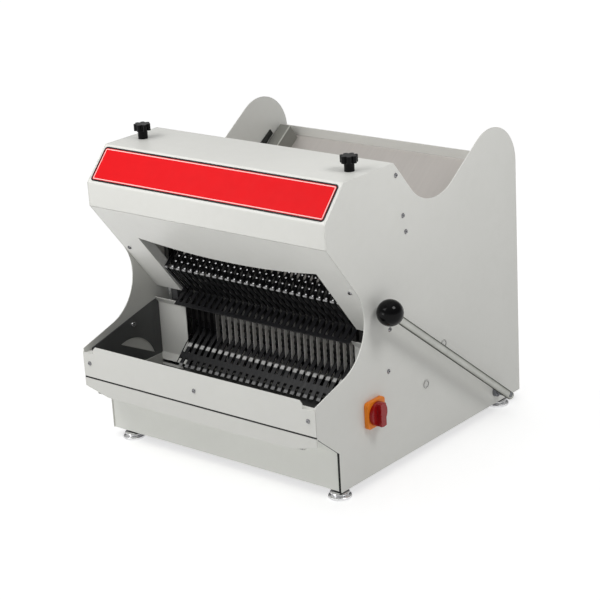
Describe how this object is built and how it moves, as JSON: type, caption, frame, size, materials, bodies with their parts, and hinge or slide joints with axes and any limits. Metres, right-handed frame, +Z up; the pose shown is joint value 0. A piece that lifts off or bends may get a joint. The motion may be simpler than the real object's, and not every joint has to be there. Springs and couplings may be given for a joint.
{
  "type": "counter-top bread slicer",
  "caption": "Counter-top bread slicer with a sloping loading chute, twin reciprocating blade frames, a hand lever pusher, a slice trough under a hood and a crumb drawer.",
  "frame": {"origin": "on the floor under the middle of the whole slicer's bounding box", "axes": "+X to the machine's right side with the lever, +Y to the back, +Z up; the slice trough faces -Y"},
  "size_m": [0.6374, 0.6682, 0.6173],
  "materials": {
    "body_paint": "light warm grey enamel",
    "drawer_paint": "light warm grey enamel",
    "chute_steel": "brushed sheet",
    "inner_steel": "plain sheet and bar",
    "comb_dark": "dark steel",
    "cheek_dark": "dark satin",
    "rivet_steel": "bright steel",
    "blade_steel": "ground blade steel",
    "pusher_steel": "brushed plate",
    "rod_chrome": "ground and plated",
    "lever_chrome": "plated tube",
    "foot_chrome": "plated",
    "cast_grey": "grey castings",
    "belt_rubber": "black rubber",
    "knob_black": "glossy black",
    "gland_black": "matte black",
    "label_red": "smooth red film",
    "label_black": "smooth black film",
    "switch_orange": "moulded plastic",
    "switch_red": "moulded plastic",
    "plug_grey": "grey plastic"
  },
  "bodies": {
    "stand": {"side_panel_left": "body_paint", "side_panel_right": "body_paint", "hood_cover": "body_paint", "hood_frame": "body_paint", "label_panel": "label_red", "label_border": "label_black", "lip_plate": "body_paint", "lip_beam": "body_paint", "drawer_runners": "inner_steel", "base_front": "body_paint", "base_plate": "inner_steel", "rear_cover": "body_paint", "chute_ramp": "chute_steel", "chute_fins": "chute_steel", "chute_guard": "body_paint", "upper_comb": "comb_dark", "comb_rivets": "rivet_steel", "lower_comb": "comb_dark", "window_plates": "body_paint", "trough_cheeks": "cheek_dark", "cheek_bolts": "rivet_steel", "guide_rods": "rod_chrome", "rod_blocks": "cast_grey", "rocker_bearings": "cast_grey", "crank_bearings": "cast_grey", "motor_body": "cast_grey", "motor_foot": "inner_steel", "drive_belt": "belt_rubber", "shaft_bearings": "cast_grey", "switch_plate": "switch_orange", "switch_body": "gland_black", "foot_nuts": "foot_chrome", "panel_screws": "rivet_steel", "plate_screws": "rivet_steel", "hole_plugs": "plug_grey", "cable_inlet": "gland_black"},
    "hand_screw_left": {"knob_left": "knob_black"},
    "hand_screw_right": {"knob_right": "knob_black"},
    "drawer": {"crumb_drawer": "drawer_paint"},
    "front_frame": {"frame_a": "inner_steel", "blades_a": "blade_steel", "blade_pins_a": "rivet_steel"},
    "rear_frame": {"frame_b": "inner_steel", "blades_b": "blade_steel", "blade_pins_b": "rivet_steel"},
    "rocker": {"rocker": "cast_grey"},
    "crank": {"crankshaft": "rod_chrome", "crank_pulley": "cast_grey"},
    "connecting_rod": {"conrod": "cast_grey"},
    "motor_rotor": {"motor_pulley": "cast_grey"},
    "pusher": {"pusher_shaft": "cast_grey", "pusher_arms": "inner_steel", "pusher_plate": "pusher_steel", "lever_tube": "lever_chrome", "lever_ball": "knob_black"},
    "switch_dial": {"switch_knob": "switch_red"},
    "foot_fl": {"foot_front_left": "foot_chrome"},
    "foot_fr": {"foot_front_right": "foot_chrome"},
    "foot_rl": {"foot_rear_left": "foot_chrome"},
    "foot_rr": {"foot_rear_right": "foot_chrome"}
  },
  "joints": [
    {"name": "pusher_swing", "type": "hinge", "parent": "stand", "child": "pusher", "pos_m": [-0.0263, 0.2321, 0.042], "axis": [-1, 0, 0], "range_deg": [0, 40]},
    {"name": "front_frame_slide", "type": "slide", "parent": "stand", "child": "front_frame", "axis": [0, 0, 1], "range_m": [-0.018, 0.018]},
    {"name": "rear_frame_slide", "type": "slide", "parent": "stand", "child": "rear_frame", "axis": [0, 0, 1], "range_m": [-0.018, 0.018]},
    {"name": "rocker_turn", "type": "hinge", "parent": "stand", "child": "rocker", "pos_m": [-0.0263, -0.0979, 0.052], "axis": [-1, 0, 0], "range_deg": [-17.5, 17.5]},
    {"name": "crank_turn", "type": "hinge", "parent": "stand", "child": "crank", "pos_m": [-0.0263, 0.0001, 0.137], "axis": [1, 0, 0], "continuous": true},
    {"name": "rod_turn", "type": "hinge", "parent": "crank", "child": "connecting_rod", "pos_m": [-0.0263, -0.0209, 0.137], "axis": [1, 0, 0], "continuous": true},
    {"name": "motor_turn", "type": "hinge", "parent": "stand", "child": "motor_rotor", "pos_m": [-0.0263, 0.1221, 0.096], "axis": [1, 0, 0], "continuous": true},
    {"name": "drawer_pull", "type": "slide", "parent": "stand", "child": "drawer", "axis": [0, -1, 0], "range_m": [0, 0.19]},
    {"name": "hand_screw_left_turn", "type": "hinge", "parent": "stand", "child": "hand_screw_left", "pos_m": [-0.2783, -0.1539, 0.6], "axis": [0, 0, 1], "continuous": true},
    {"name": "hand_screw_right_turn", "type": "hinge", "parent": "stand", "child": "hand_screw_right", "pos_m": [0.2257, -0.1539, 0.6], "axis": [0, 0, 1], "continuous": true},
    {"name": "switch_turn", "type": "hinge", "parent": "stand", "child": "switch_dial", "pos_m": [0.2737, -0.1669, 0.139], "axis": [1, 0, 0], "range_deg": [0, 90]},
    {"name": "foot_fl_screw", "type": "slide", "parent": "stand", "child": "foot_fl", "axis": [0, 0, -1], "range_m": [0, 0.015]},
    {"name": "foot_fr_screw", "type": "slide", "parent": "stand", "child": "foot_fr", "axis": [0, 0, -1], "range_m": [0, 0.015]},
    {"name": "foot_rl_screw", "type": "slide", "parent": "stand", "child": "foot_rl", "axis": [0, 0, -1], "range_m": [0, 0.015]},
    {"name": "foot_rr_screw", "type": "slide", "parent": "stand", "child": "foot_rr", "axis": [0, 0, -1], "range_m": [0, 0.015]}
  ],
  "couplings": [
    {"joint": "rear_frame_slide", "follows": "front_frame_slide", "ratio": -1},
    {"joint": "rocker_turn", "follows": "front_frame_slide", "rad_per_m": 16.667},
    {"joint": "rod_turn", "follows": "crank_turn", "ratio": -1},
    {"joint": "motor_turn", "follows": "crank_turn", "ratio": 2.7}
  ]
}
